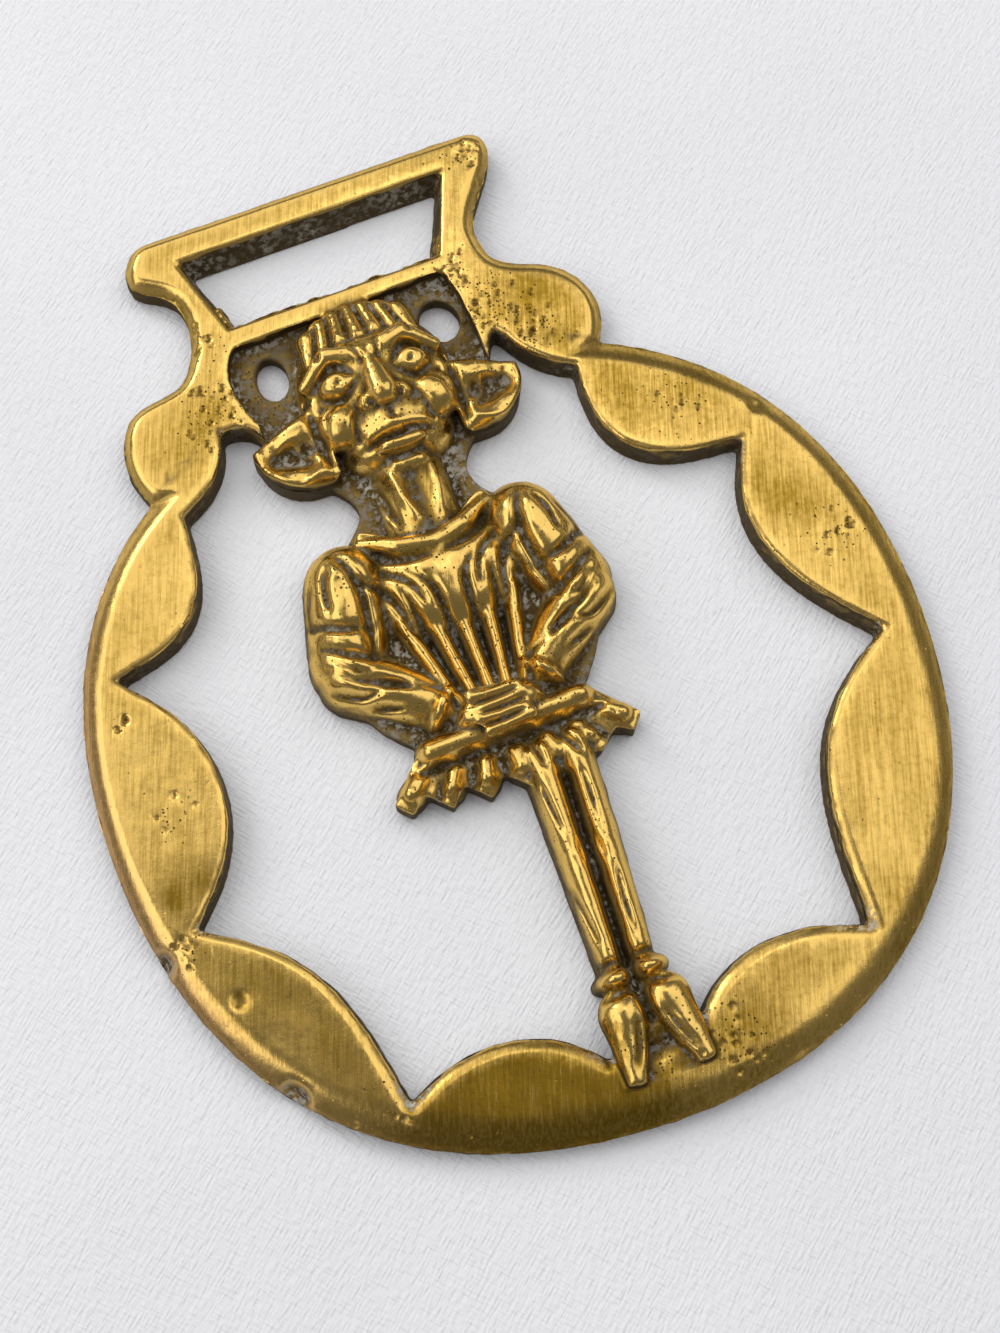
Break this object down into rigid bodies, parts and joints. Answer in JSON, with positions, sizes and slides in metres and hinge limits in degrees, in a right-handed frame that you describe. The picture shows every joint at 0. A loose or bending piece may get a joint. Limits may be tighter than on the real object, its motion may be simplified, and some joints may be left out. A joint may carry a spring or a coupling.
{
  "type": "horse brass",
  "caption": "Flat cast harness ornament: a scalloped ring with a strap hanger on top and a standing goblin in its opening.",
  "frame": {"origin": "middle of the casting's bounding box, on the flat back that it lies on", "axes": "+X to the right as the front is seen, +Y up to the strap hanger, +Z out of the front"},
  "size_m": [0.079, 0.0978, 0.0078],
  "materials": {
    "brass": "cast and linished brass, worn bright on the raised parts, brown and chalky in the hollows"
  },
  "bodies": {
    "root": {"brass_casting": "brass"}
  },
  "joints": []
}
